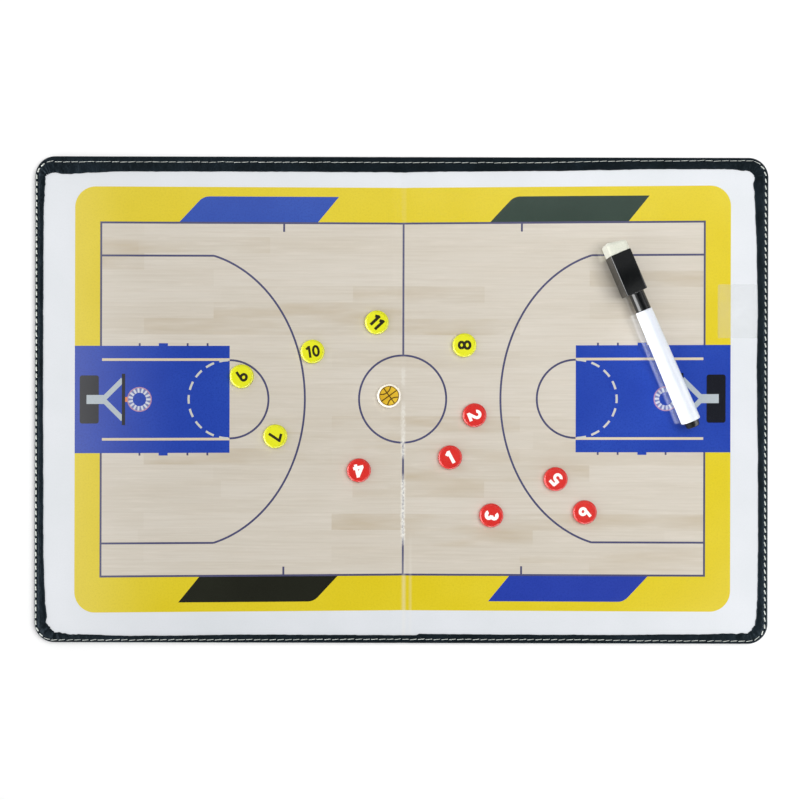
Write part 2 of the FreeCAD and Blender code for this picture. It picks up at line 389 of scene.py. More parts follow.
def fold_wear(shader, flat):
    """How far the print is whitened along the fold: rubbed ink with painted glints in stretches, and
    painted highlight bands at one end.
    """
    parts = shader.node("SeparateXYZ", Vector=flat)
    x, y = parts.outputs["X"], parts.outputs["Y"]
    specks = shader.ramp(shader.noise(flat, 560.0, 4.0, 0.7), 0.45, 1.0, 0.38, 0.58)
    sway = shader.ramp(shader.noise(flat, 420.0, 2.0), -0.0007, 0.0007, 0.25, 0.75)
    rub_and_glint = FOLD_RUB_AND_GLINT_LEAST
    for at, half, fade, strength in FOLD_RUB_AND_GLINT:
        stretch = shader.math("MULTIPLY", shader.stripe(y, at, half, fade), strength)
        rub_and_glint = shader.math("MAXIMUM", stretch, rub_and_glint)
    fold = shader.stripe(shader.math("ADD", x, sway), FOLD_X, FOLD_BREADTH, FOLD_FADE)
    # Specks along the fold: partly rubbed ink, partly painted glints
    white = shader.math("MULTIPLY", fold, shader.math("MULTIPLY", specks, rub_and_glint))
    # Painted highlight bands along the fold lines near the lower edge
    for at, half, fade, strong, weak, first, last in FOLD_HIGHLIGHT_BANDS:
        drop = shader.ramp(y, strong, weak, first * MM, last * MM)
        pale = shader.math("MULTIPLY", shader.stripe(x, at, half, fade), drop)
        white = shader.math("MAXIMUM", white, pale)
    return white


INK_DARKER = 0.82


def ink(name, colour, other, speckle):
    """Printed ink: two near tones in broad clouds, a fine print grain, and along the fold rubbed wear with
    painted glints and painted highlight bands.
    """
    shader, flat = film_surface(name)
    colour, other = srgb(*colour), srgb(*other)
    clouds = shader.noise(flat, 22.0)
    grain = shader.noise(flat, 900.0, 2.0, 0.7)
    broad = shader.clouded(clouds, colour, other)
    darker = tuple(c * INK_DARKER for c in colour[:3]) + (1.0,)
    dots = shader.ramp(grain, 0.0, speckle, 0.45, 0.72)
    printed = shader.mix(dots, broad, darker)
    # Whitened along the fold by rubbed ink, painted glints and painted highlight bands
    shader.paint("Base Color", shader.mix(fold_wear(shader, flat), printed, FOLD_RUB_AND_HIGHLIGHT_WHITE))
    return shader.material


WOOD_PALE = srgb(215, 208, 196)
WOOD_MID = srgb(208, 200, 186)
WOOD_BROWN = srgb(192, 177, 152)
WOOD_GRAIN = srgb(194, 183, 166)
WOOD_LIGHT = srgb(222, 214, 202)
PLANK_L = 0.118
PLANK_W = 0.0102
WOOD_LINES = (16.0, 700.0, 1.0)
WOOD_STREAKS = (34.0, 330.0, 1.0)
WOOD_BLOTCHES = (11.0, 70.0, 1.0)


def wood_print():
    """Court floor printed as pale planks along the board, a few of them browner, with fine grain lines."""
    shader, flat = film_surface("print_wood")
    planks = shader.node(
        "TexBrick",
        {"offset": 0.37, "offset_frequency": 2, "squash": 0.7, "squash_frequency": 3},
        Vector=flat,
        Color1=(0.0, 0.0, 0.0, 1.0),
        Color2=(1.0, 1.0, 1.0, 1.0),
        Scale=1.0,
        Mortar_Size=0.0,
        Bias=0.0,
        Brick_Width=PLANK_L,
        Row_Height=PLANK_W,
    ).outputs["Color"]
    lines = shader.noise(shader.place(WOOD_LINES, PRINT_MAP), 1.0, 4.0, 0.7)
    streaks = shader.noise(shader.place(WOOD_STREAKS, PRINT_MAP), 1.0, 4.0, 0.7)
    blotches = shader.noise(shader.place(WOOD_BLOTCHES, PRINT_MAP), 1.0, 3.0, 0.6)
    toned = shader.mix(planks, WOOD_PALE, WOOD_MID)
    streaked = shader.mix(shader.ramp(streaks, 0.0, 0.7, 0.5, 0.75), toned, WOOD_LIGHT)
    brown_plank = shader.ramp(planks, 0.12, 0.85, 0.66, 0.88)
    brown = shader.math("MULTIPLY", brown_plank, shader.ramp(blotches, 0.0, 0.95, 0.42, 0.68))
    browned = shader.mix(brown, streaked, WOOD_BROWN)
    lined = shader.mix(shader.ramp(lines, 0.0, 0.6, 0.45, 0.8), browned, WOOD_GRAIN)
    # Whitened along the fold by rubbed ink, painted glints and painted highlight bands
    shader.paint("Base Color", shader.mix(fold_wear(shader, flat), lined, FOLD_RUB_AND_HIGHLIGHT_WHITE))
    return shader.material


# Inks of the print: two near tones, and how strong the grain is
PRINT_INKS = {
    "white": ((228, 231, 236), (222, 226, 230), 0.15),
    "yellow": ((222, 200, 30), (226, 205, 44), 0.4),
    "key_blue": ((32, 64, 168), (40, 74, 178), 0.8),
    "banner_blue": ((36, 72, 170), (44, 82, 178), 0.7),
    "banner_deep": ((34, 58, 162), (42, 66, 170), 0.7),
    "banner_dark": ((28, 29, 20), (34, 36, 26), 0.7),
    "banner_green": ((36, 56, 46), (46, 66, 56), 0.7),
    "line": ((74, 74, 108), (84, 84, 118), 0.5),
    "cream": ((214, 198, 168), (220, 208, 182), 0.3),
    "dash": ((200, 200, 188), (208, 208, 200), 0.3),
    "steel_grey": ((176, 186, 192), (186, 196, 202), 0.4),
    "dark": ((22, 24, 32), (28, 31, 40), 0.8),
    "orange": ((226, 128, 82), (232, 140, 92), 0.4),
    "ring_white": ((214, 216, 224), (204, 210, 222), 0.2),
    "ring_net": ((112, 122, 176), (122, 132, 184), 0.5),
    "ring_red": ((178, 132, 158), (186, 144, 168), 0.4),
}


LEATHER_BLACK = srgb(6, 11, 13)
LEATHER_WORN = srgb(16, 24, 30)
LEATHER_DEEP = srgb(3, 6, 7)
LEATHER_SHEEN = (0.58, 0.8, 1.0, 1.0)
THREAD_PALE = srgb(214, 218, 212)
THREAD_GREY = srgb(172, 178, 172)
THREAD_DIRT = srgb(110, 116, 112)


def leather():
    """Black grained leather cloth, a little blue-green, with a shine that varies in broad clouds."""
    shader = Shader("leather", Specular_IOR_Level=0.28, Specular_Tint=LEATHER_SHEEN)
    place = shader.place()
    cells = shader.node(
        "TexVoronoi", {"feature": "SMOOTH_F1"}, Vector=place, Scale=950.0, Smoothness=0.6
    ).outputs["Distance"]
    fine = shader.noise(place, 2600.0, 3.0)
    wrinkles = shader.noise(place, 260.0, 3.0, 0.6)
    clouds = shader.noise(place, 60.0)
    tone = shader.mix(shader.ramp(clouds, 0.0, 1.0, 0.35, 0.7), LEATHER_BLACK, LEATHER_WORN)
    shader.paint("Base Color", shader.mix(shader.ramp(cells, 0.0, 0.6, 0.2, 0.8), tone, LEATHER_DEEP))
    shader.paint("Roughness", shader.ramp(clouds, 0.3, 0.46))
    creased = shader.bump(wrinkles, 0.0011, 0.6)
    grain = shader.bump(cells, 0.00014, 0.7, creased)
    shader.paint("Normal", shader.bump(fine, 0.00004, 0.4, grain))
    return shader.material


def thread():
    """Pale grey sewing thread, fuzzy and a little dirty between its strands."""
    shader = Shader("thread", Roughness=0.7, Sheen_Weight=0.3)
    place = shader.place()
    fuzz_marks = shader.noise(place, 2400.0, 3.0, 0.7)
    shade = shader.noise(place, 130.0)
    tone = shader.clouded(shade, THREAD_PALE, THREAD_GREY)
    shader.paint("Base Color", shader.mix(shader.ramp(fuzz_marks, 0.0, 0.5, 0.4, 0.8), tone, THREAD_DIRT))
    shader.paint("Normal", shader.bump(fuzz_marks, 0.00006, 0.7))
    return shader.material


MILKY_DEPTH = 0.004


def moulding(name, colour, other, rough, milky=0.0):
    """Moulded plastic, or a label on it, with a slight flow pattern; milky lets some light in."""
    shader = Shader(name, Subsurface_Weight=milky, Subsurface_Scale=MILKY_DEPTH, Subsurface_Radius=EVEN)
    place = shader.place()
    flow = shader.noise(place, 90.0, 2.0)
    skin = shader.noise(place, 1600.0, 2.0)
    shader.paint("Base Color", shader.clouded(flow, srgb(*colour), srgb(*other)))
    shader.paint("Roughness", shader.ramp(skin, rough * 0.85, rough * 1.2, 0.3, 0.7))
    shader.paint("Normal", shader.bump(skin, 0.00002, 0.5))
    return shader.material


def fibre(name, colour, other, size, depth):
    """Matted fibres, also for pressed board and sintered magnets; size and depth in metres."""
    shader = Shader(name, Roughness=0.95, Sheen_Weight=0.4, Sheen_Roughness=0.6)
    place = shader.place()
    mat = shader.noise(place, 1.0 / size, 4.0, 0.7)
    strands = shader.noise(shader.place((400.0, 2600.0, 1300.0)), 1.0, 3.0, 0.7)
    shader.paint("Base Color", shader.clouded(mat, srgb(*colour), srgb(*other)))
    matted = shader.bump(mat, depth, 0.8)
    shader.paint("Normal", shader.bump(strands, depth * 0.6, 0.6, matted))
    return shader.material


def sheet_metal():
    shader = Shader("steel_sheet", Metallic=1.0)
    brushed = shader.noise(shader.place((30.0, 900.0, 900.0)), 1.0, 4.0, 0.6)
    shader.paint("Base Color", shader.mix(brushed, srgb(150, 154, 158), srgb(186, 188, 190)))
    shader.paint("Roughness", shader.ramp(brushed, 0.3, 0.5))
    return shader.material


def clear_patch_film():
    """Thin milky clear film, a little cloudier in places."""
    shader = Shader("clear_film", Base_Color=srgb(226, 229, 227), Roughness=0.22)
    clouds = shader.noise(shader.place(), 120.0)
    shader.paint("Alpha", shader.ramp(clouds, 0.08, 0.11, 0.3, 0.7))
    shader.paint("Normal", shader.bump(clouds, 0.0003, 0.3))
    return shader.material


# Moulded pieces and their labels: two near tones, roughness and milkiness
MOULDINGS = {
    "counter_red": ((190, 34, 30), (197, 44, 38), 0.22),
    "counter_yellow": ((202, 203, 22), (209, 210, 38), 0.22),
    "counter_white": ((232, 226, 212), (226, 220, 206), 0.22),
    "label_red": ((192, 34, 30), (199, 44, 38), 0.3),
    "label_yellow": ((205, 206, 20), (211, 212, 36), 0.3),
    "label_ball": ((188, 146, 22), (222, 190, 60), 0.3),
    "ink_white": ((244, 240, 236), (236, 232, 228), 0.32),
    "ink_black": ((30, 28, 14), (40, 36, 18), 0.32),
    "ink_seam": ((66, 44, 8), (104, 78, 16), 0.32),
    "black_plastic": ((5, 7, 8), (9, 11, 12), 0.2),
    "white_plastic": ((215, 219, 226), (209, 214, 222), 0.26, 0.8),
}
# Matted materials: two near tones, size of the matting and its depth
FIBRES = {
    "grey_board": ((128, 124, 116), (146, 142, 134), 0.0012, 0.00005),
    "magnet": ((52, 52, 54), (66, 66, 68), 0.0008, 0.00003),
    "felt": ((206, 207, 194), (190, 191, 176), 0.0009, 0.0003),
    "ink_fibre": ((36, 36, 42), (54, 54, 60), 0.001, 0.0001),
    "nib_fibre": ((24, 24, 28), (38, 38, 42), 0.0005, 0.00006),
}
MATERIALS = {
    "leather": leather(),
    "thread": thread(),
    "steel_sheet": sheet_metal(),
    "clear_film": clear_patch_film(),
}
MATERIALS.update((slot, moulding(slot, *look)) for slot, look in MOULDINGS.items())
MATERIALS.update((slot, fibre(slot, *look)) for slot, look in FIBRES.items())
PRINT_MATERIALS = {slot: ink("print_" + slot, *tones) for slot, tones in PRINT_INKS.items()}
PRINT_MATERIALS["wood"] = wood_print()


# Mesh building


def make_piece(name, points, faces, materials, slots=None, smooth=True):
    """An object from points in millimetres; slots gives each face its material's number."""
    mesh = bpy.data.meshes.new(name)
    mesh.from_pydata([Vector(p) * MM for p in points], [], faces)
    for material in materials:
        mesh.materials.append(material)
    if slots is not None:
        mesh.polygons.foreach_set("material_index", slots)
    mesh.polygons.foreach_set("use_smooth", [smooth] * len(mesh.polygons))
    mesh.validate()
    piece = bpy.data.objects.new(name, mesh)
    bpy.context.scene.collection.objects.link(piece)
    return piece


def loft(sections, close_end=True):
    """Points and faces of a skin through rings with equal numbers of points, closed at its start."""
    count = len(sections[0])
    points = [p for ring in sections for p in ring]
    faces = []
    for row in range(len(sections) - 1):
        for i in range(count):
            j = (i + 1) % count
            a, b = row * count, (row + 1) * count
            faces.append((a + i, a + j, b + j, b + i))
    faces.append(tuple(reversed(range(count))))
    if close_end:
        faces.append(tuple(range(len(points) - count, len(points))))
    return points, faces


def sharp_edges(piece, angle):
    """Keeps the edges sharp that turn by more than an angle in degrees."""
    piece.data.set_sharp_from_angle(angle=math.radians(angle))
    return piece


def stand_for(piece, slot, *nodes):
    """The piece replaces these CAD nodes, which are hidden; the slot is not used."""
    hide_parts(*nodes)
    return piece


def wave(x, y, z):
    """Smooth noise between -1 and 1 at a place; the same z always gives the same pattern."""
    return noise.noise(Vector((x, y, z)))


def ease(share):
    """0 to 1 with no slope at either end."""
    t = min(1.0, max(0.0, share))
    return t * t * (3 - 2 * t)


def arc(x, y, radius, start, end, step=3.0, squeeze=1.0):
    """Points on an arc, angles in degrees; squeeze narrows it in X."""
    count = max(2, math.ceil(abs(end - start) / step) + 1)
    turns = [math.radians(start + (end - start) * i / (count - 1)) for i in range(count)]
    return [(x + squeeze * radius * math.cos(t), y + radius * math.sin(t)) for t in turns]


def box_outline(x0, x1, y0, y1, radius=0.0):
    """A rectangle, anticlockwise from its low corner, with rounded corners if a radius is given."""
    if radius == 0.0:
        return [(x0, y0), (x1, y0), (x1, y1), (x0, y1)]
    low_x, high_x, low_y, high_y = x0 + radius, x1 - radius, y0 + radius, y1 - radius
    corners_at = ((low_x, low_y, 180), (high_x, low_y, 270), (high_x, high_y, 0), (low_x, high_y, 90))
    return [p for x, y, turn in corners_at for p in arc(x, y, radius, turn, turn + 90, 6.0)]


def band(path, width):
    """Outline of a line of this width along a path, with square ends."""
    left, right = [], []
    for i, (x, y) in enumerate(path):
        x0, y0 = path[max(i - 1, 0)]
        x1, y1 = path[min(i + 1, len(path) - 1)]
        reach = math.hypot(x1 - x0, y1 - y0) or 1.0
        nx, ny = -(y1 - y0) / reach * width / 2, (x1 - x0) / reach * width / 2
        left.append((x + nx, y + ny))
        right.append((x - nx, y - ny))
    return left + right[::-1]


def ring_bands(x, y, radius, width):
    """A full ring as two half bands."""
    return [band(arc(x, y, radius, a, a + 180, 4.0), width) for a in (0, 180)]


def facing_up(outline):
    """The outline in anticlockwise order."""
    turn = sum(a[0] * b[1] - b[0] * a[1] for a, b in zip(outline, outline[1:] + outline[:1]))
    return outline if turn > 0 else outline[::-1]


def partition(layers, cuts=()):
    """Splits stacked outlines into flat triangles, each named after the topmost outline over it.

    The first layer bounds the whole. Cuts are lines that the triangles keep to.
    """
    points, faces, edges = [], [], []
    for _, outline in layers:
        start = len(points)
        points += facing_up(list(outline))
        faces.append(list(range(start, len(points))))
    for first, last in cuts:
        edges.append((len(points), len(points) + 1))
        points += [first, last]
    made = delaunay_2d_cdt([Vector(p) for p in points], edges, faces, 1, 1e-5, True)
    places, triangles, origins = made[0], made[2], made[5]
    kept = [(t, layers[max(o)][0]) for t, o in zip(triangles, origins) if 0 in o]
    return places, [t for t, _ in kept], [slot for _, slot in kept]


# Cover of grained leather: back, edge wall and hem in one skin


def side_steps(first, last):
    """Even steps along a straight stretch."""
    count = max(1, round(abs(last - first) / EDGE_STEP))
    return [first + (last - first) * i / count for i in range(count)]


def long_side_steps():
    """Places along a long side, close together where the spine bends."""
    reach = HALF_L - CORNER_R
    bend = HALF_SPINE + SPINE_STEPS_PAST * SPINE_STEP
    count = round(2 * bend / SPINE_STEP)
    spine = [-bend + 2 * bend * i / count for i in range(count)]
    return side_steps(-reach, -bend) + spine + side_steps(bend, reach) + [reach]


def from_table(table, place):
    """A width at a place along a side, smooth between the listed places."""
    for (a, wide_a), (b, wide_b) in zip(table, table[1:]):
        if place <= b:
            return wide_a + (wide_b - wide_a) * ease((place - a) / (b - a))
    return table[-1][1]


def side_station(side, place):
    """Outer and inner point of the hem at a place along a side."""
    wide = from_table(HEM_WIDTHS[side], place)
    if side in ("bottom", "top"):
        sign = 1 if side == "top" else -1
        return Vector((place, sign * HALF_W)), Vector((place, sign * (HALF_W - wide)))
    sign = 1 if side == "right" else -1
    return Vector((sign * HALF_L, place)), Vector((sign * (HALF_L - wide), place))


def edge_stations():
    """Places round the board, anticlockwise from bottom left: side, outer and inner point, seam inset."""
    reach_x, reach_y = HALF_L - CORNER_R, HALF_W - CORNER_R
    long_steps = long_side_steps()
    short_steps = side_steps(-reach_y, reach_y) + [reach_y]
    runs = (
        ("bottom", long_steps, (1, -1), -90),
        ("right", short_steps, (1, 1), 0),
        ("top", long_steps[::-1], (-1, 1), 90),
        ("left", short_steps[::-1], (-1, -1), 180),
    )
    stations = []
    for n, (side, steps, sign, first_angle) in enumerate(runs):
        for place in steps:
            stations.append((side, *side_station(side, place), from_table(SEAM_INSETS[side], place)))
        after, after_steps = runs[(n + 1) % 4][:2]
        start, end = stations[-1][2], side_station(after, after_steps[0])[1]
        seam_start, seam_end = stations[-1][3], from_table(SEAM_INSETS[after], after_steps[0])
        square = Vector((end.x, start.y)) if side in ("bottom", "top") else Vector((start.x, end.y))
        pull = start.lerp(end, 0.5).lerp(square, HEM_CORNERS[side, after])
        centre = Vector((sign[0] * reach_x, sign[1] * reach_y))
        for i in range(1, CORNER_STEPS):
            share = i / CORNER_STEPS
            turn = math.radians(first_angle + 90 * share)
            outer = centre + Vector((math.cos(turn), math.sin(turn))) * CORNER_R
            inner = start.lerp(pull, share).lerp(pull.lerp(end, share), share)
            inset = seam_start + (seam_end - seam_start) * share
            stations.append((side if share < 0.5 else after, outer, inner, inset))
    return stations, len(long_steps), len(short_steps)


def spine_sag(x):
    """How far the hem sinks over the spine."""
    return HEM_SAG * ease(1 - abs(x) / HALF_SPINE)


def back_crease(x):
    """Height of the two creases pressed into the back beside the spine."""
    return CREASE_DEEP * math.exp(-(((abs(x) - CREASE_AT) / CREASE_HALF) ** 2))


def hem_profile(width, inset):
    """Section of the cover from the back round the edge to the film: inset from the edge and height."""
    bottom = [(EDGE_ROUND + BACK_MARGIN, 0.0)]
    bottom += arc(EDGE_ROUND, EDGE_ROUND, EDGE_ROUND, 270, 180, 22.5)
    top = arc(EDGE_ROUND, RIM_TOP - EDGE_ROUND, EDGE_ROUND, 180, 90, 15.0)
    seat = max(inset, EDGE_ROUND + GROOVE_ROOM * GROOVE_HALF)
    sunk = RIM_TOP - GROOVE_DEEP
    groove = [
        (seat - GROOVE_HALF, RIM_TOP),
        (seat - GROOVE_HALF / 3, sunk),
        (seat + GROOVE_HALF / 3, sunk),
        (seat + GROOVE_HALF, RIM_TOP),
    ]
    room = width - seat - GROOVE_HALF
    hem = [(width - room * share, RIM_TOP - drop) for share, drop in HEM_ROLL]
    return bottom + top + groove + hem + [(width, FILM_TOP - HEM_TUCK)]


def gather(outer, run):
    """Height of the gathers in the leather at a run along the edge: only near the corners."""
    near = 1.0
    for away in (HALF_L - abs(outer.x), HALF_W - abs(outer.y)):
        near *= ease((PLEAT_REACH - away) / (PLEAT_REACH - PLEAT_FULL))
    fine = PLEAT_FINE * wave(run * PLEAT_FINE_RATE, 5.0, 11.0)
    return PLEAT * near * (wave(run * PLEAT_RATE, 0.0, 11.0) + fine)


def build_cover(stations, long_count, short_count):
    """The whole skin: a profile at every station, and a flat back in strips, closer together over the
    spine.
    """
    points = []
    run = 0.0
    last = stations[-1][1]
    for _, outer, inner, inset in stations:
        run += (outer - last).length
        last = outer
        pleat = gather(outer, run)
        slow, fast = [run * rate for rate in HEM_WAVE_RATES]
        sway = wave(slow, 0.0, 3.0) * HEM_WAVE + wave(fast, 0.0, 7.0) * HEM_WAVE
        inward = (inner - outer).normalized()
        width = (inner - outer).length + sway + pleat
        for depth, height in hem_profile(width, inset):
            place = outer + inward * depth
            if height < EDGE_ROUND:
                height += back_crease(place.x) * (1 - height / EDGE_ROUND)
            else:
                x, y = [at * HEM_UNEVEN_RATE for at in place]
                uneven = wave(x, y, 13.0) * HEM_UNEVEN
                lift = uneven + pleat * ease(depth / width) - spine_sag(place.x)
                height += lift * ease((height - EDGE_ROUND) / (RIM_TOP - EDGE_ROUND))
            points.append((place.x, place.y, min(height, RIM_TOP + PLEAT)))
    depth_count = len(points) // len(stations)
    faces = []
    for i in range(len(stations)):
        j = (i + 1) % len(stations)
        for k in range(depth_count - 1):
            a, b = i * depth_count + k, j * depth_count + k
            faces.append((a, b, b + 1, a + 1))
    back = [i * depth_count for i in range(len(stations))]
    gap = CORNER_STEPS - 1
    top_start = long_count + gap + short_count + gap
    lower = back[:long_count]
    upper = back[top_start : top_start + long_count][::-1]
    for i in range(long_count - 1):
        faces.append((lower[i], upper[i], upper[i + 1], lower[i + 1]))
    faces.append(tuple(reversed(back[long_count - 1 : top_start + 1])))
    faces.append(tuple(reversed(back[top_start + long_count - 1 :] + back[:1])))
    return make_piece("cover", points, faces, [MATERIALS["leather"]])


# Rings of a stitch from its end to its middle: place along it, thickness and drop into the leather
STITCH_RINGS = (
    (-1.0, 0.3, -1.0), (-0.93, 0.62, -0.62), (-0.82, 0.86, -0.3),
    (-0.6, 1.0, -0.08), (-0.3, 1.02, 0.0), (0.0, 1.04, 0.0),
)
STITCH_SIDES = 10
STITCH_TWIST = 2.2
STITCH_DIVE = 1.3
STITCH_FLAT = 0.85
STITCH_LEAN = 0.12
STITCH_LEAN_RATE = 0.9
STITCH_WANDER_RATE = 0.11
STRAND_DEEP = 0.22


def stitch_line(stations):
    """Where the thread runs: side and point for each station, in the hem's groove."""
    line = []
    for side, outer, inner, inset in stations:
        place = outer + (inner - outer).normalized() * inset
        sunk = GROOVE_DEEP / 2 * ease((inset - EDGE_ROUND) / GROOVE_HALF)
        line.append((side, Vector((place.x, place.y, RIM_TOP - sunk - spine_sag(place.x)))))
    return line + line[:1]


def stitch(middle, along, seam):
    """Rings of one stitch: a bar of two twisted strands that dives into the leather at both ends."""
    across = Vector((-along.y, along.x, 0.0)).normalized()
    rings = STITCH_RINGS + tuple((-t, size, drop) for t, size, drop in STITCH_RINGS[-2::-1])
    sections = []
    for share, size, drop in rings:
        centre = middle + along * share * seam.length / 2 + Vector((0, 0, drop * seam.radius * STITCH_DIVE))
        ring = []
        for s in range(STITCH_SIDES):
            turn = 2 * math.pi * s / STITCH_SIDES
            strand = 1 - STRAND_DEEP * abs(math.cos(turn - STITCH_TWIST * share * seam.length))
            side = across * math.cos(turn) + Vector((0, 0, math.sin(turn) * STITCH_FLAT))
            ring.append(centre + side * seam.radius * size * strand)
        sections.append(ring)
    return sections


def build_stitches(stations):
    """Stitches one pitch apart round the whole hem."""
    line = stitch_line(stations)
    points, faces = [], []
    target, walked, run = 0.0, 0.0, 0
    for (side, a), (_, b) in zip(line, line[1:]):
        reach = (b - a).length
        seam = SEAMS[side]
        along = (b - a).normalized()
        while target < walked + reach:
            wander = seam.wander * wave(target * STITCH_WANDER_RATE, 0.0, 5.0)
            lean = seam.slant + STITCH_LEAN * wave(run * STITCH_LEAN_RATE, 0.0, 5.0)
            turned = Matrix.Rotation(lean, 3, "Z") @ along
            middle = a + along * (target - walked) + Vector((-along.y, along.x, 0.0)) * wander
            ring_points, ring_faces = loft(stitch(middle, turned, seam))
            start = len(points)
            points += ring_points
            faces += [tuple(start + i for i in face) for face in ring_faces]
            target += seam.pitch
            run += 1
        walked += reach
    return make_piece("stitching", points, faces, [MATERIALS["thread"]])


def bend_at_spine(piece):
    """Bakes the piece's placement into its points."""
    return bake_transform(piece)


# Printed film


def court_layers():
    """Outlines of the print in stacking order, in the frame's millimetres."""
    film = box_outline(FILM_LOW.x, FILM_HIGH.x, FILM_LOW.y, FILM_HIGH.y, FILM_CORNER_R)
    layers = [("white", film)]

    def lay(slot, outline, side=1):
        layers.append((slot, [on_film(side * u, v) for u, v in outline]))

    lay("yellow", split_at_middle(box_outline(-BORDER_U, BORDER_U, -BORDER_V, BORDER_V, BORDER_R)))
    lay("wood", split_at_middle(box_outline(-COURT_U, COURT_U, -COURT_V, COURT_V)))
    for slot, start, top in BANNERS:
        lay(slot, banner(start, top))
    reach = COURT_U + LINE_W / 2
    for v in (-COURT_V, COURT_V):
        lay("line", band([(-reach, v), (0, v), (reach, v)], LINE_W))
    for sign in (-1, 1):
        lay("line", band([(CENTRE_SHIFT, sign * CENTRE_R), (CENTRE_SHIFT, sign * COURT_V)], LINE_W))
    for half in ring_bands(0, 0, CENTRE_R, LINE_W):
        lay("line", half)
    for side in (-1, 1):
        for slot, outline in half_court():
            lay(slot, outline, side)
    return layers


def on_film(u, v):
    """Where a place of the court lies on the film: the print is a little askew and flares to both ends."""
    return PRINT_X + u, PRINT_Y + PRINT_RISE * u + v * (1 + PRINT_FLARE * abs(u) / COURT_U)


def split_at_middle(outline):
    """The outline with a point more where a long side crosses the middle, because the flare turns there."""
    made = []
    for (u, v), after in zip(outline, outline[1:] + outline[:1]):
        made.append((u, v))
        if u * after[0] < 0:
            made.append((0.0, v))
    return made


def banner(start, top):
    """A leaning plate on the border, one corner rounded; top is 1 above the court and -1 below it."""
    near = [(0.0, 0.0), (BANNER_L, 0.0)]
    far_end = (BANNER_L + BANNER_LEAN - BANNER_TRIM, BANNER_H)
    lean = math.atan2(BANNER_H, BANNER_LEAN)
    reach = BANNER_R * math.tan((math.pi - lean) / 2 - math.pi / 4)
    middle = (BANNER_LEAN + reach, BANNER_H - BANNER_R)
    rounded = arc(*middle, BANNER_R, 90, 90 + math.degrees(lean), 6.0)
    outline = near + [far_end] + rounded
    if top > 0:
        return [(start + u, COURT_V + v) for u, v in outline]
    return [(start + BANNER_L - u, -COURT_V - v) for u, v in outline]


def half_court():
    """One end of the court: lines, key, lane and the basket seen from above."""
    yield "line", band([(COURT_U, -COURT_V), (COURT_U, COURT_V)], LINE_W)
    open_angle = math.degrees(math.asin(THREE_V / THREE_R))
    three = arc(THREE_U, 0, THREE_R, 180 - open_angle, 180 + open_angle, 1.5, THREE_SQUEEZE)
    yield "line", band(three, LINE_W)
    yield "line", band(arc(KEY_U, 0, FREE_R, 90, 270), LINE_W)
    for sign in (-1, 1):
        yield "line", band([(three[0][0], sign * THREE_V), (COURT_U, sign * THREE_V)], LINE_W)
        yield "line", band([(TICK_U, sign * COURT_V), (TICK_U, sign * (COURT_V - TICK_L))], LINE_W)
    yield "key_blue", box_outline(KEY_U, BORDER_U, -KEY_V, KEY_V)
    for sign in (-1, 1):
        edge = [sign * KEY_V, sign * (KEY_V + MARK_H)]
        for u in MARKS_U:
            yield "line", band([(u, v) for v in edge], MARK_W)
        yield "key_blue", box_outline(*BLOCK_U, *sorted(edge))
        yield "cream", band([(KEY_U, sign * LANE_V), (COURT_U - LANE_SHORT, sign * LANE_V)], LANE_W)
    for n in range(DASHES):
        middle = (n - (DASHES - 1) / 2) * DASH_STEP
        dash = arc(KEY_U, 0, FREE_R, middle - DASH_ARC / 2, middle + DASH_ARC / 2, 3.0, DASH_STRETCH)
        yield "dash", band(dash, DASH_W)
    yield from basket()


def basket():
    """Stand, backboard and ring seen from above."""
    yield "dark", box_outline(*BASE_U, -BASE_V, BASE_V, BASE_R)
    for sign in (-1, 1):
        yield "steel_grey", band([(STEM_U[0] + ARM_W / 3, 0.0), (ARM_END[0], sign * ARM_END[1])], ARM_W)
    yield "steel_grey", box_outline(*STEM_U, -STEM_V, STEM_V)
    yield "dark", band([(BACKBOARD_U, -BACKBOARD_V), (BACKBOARD_U, BACKBOARD_V)], BACKBOARD_W)
    yield "orange", band([(RING_U + RING_R, 0.0), (BACKBOARD_U - BACKBOARD_W / 2, 0.0)], NECK_W)
    for half in ring_bands(RING_U, 0, RING_R, RING_W):
        yield "ring_net", half
    for half in ring_bands(RING_U, 0, RING_R + (RING_W + RING_EDGE) / 2, RING_EDGE):
        yield "ring_red", half
    for n in range(NET_BARS):
        turn = 2 * math.pi * (n + 0.5) / NET_BARS
        reach = (RING_R - RING_W / 2, RING_R + RING_W / 2)
        bar = [(RING_U + math.cos(turn) * r, math.sin(turn) * r) for r in reach]
        yield "ring_white", band(bar, NET_BAR_W)


def ridge(x, at, rise):
    """Height of a fold line at this distance from the spine's middle."""
    return rise * math.exp(-(((x - at) / FOLD_HALF) ** 2))


def film_height(x, y):
    """Top of the film: flat on the leaves, with a shallow dip and two fold lines over the spine."""
    share = ease(1 - abs(x) / HALF_SPINE)
    wander = wave(0.0, y * FOLD_WANDER_RATE, 2.0) * FOLD_WANDER
    folds = ridge(x, FOLD_X + wander, FOLD_RISE) + ridge(x, SECOND_FOLD_X + wander, SECOND_FOLD_RISE)
    uneven = FOLD_LEAST + FOLD_UNEVEN * wave(0.0, y * FOLD_UNEVEN_RATE, 9.0)
    return FILM_TOP - FILM_DIP * share + folds * uneven * ease(4 * share)


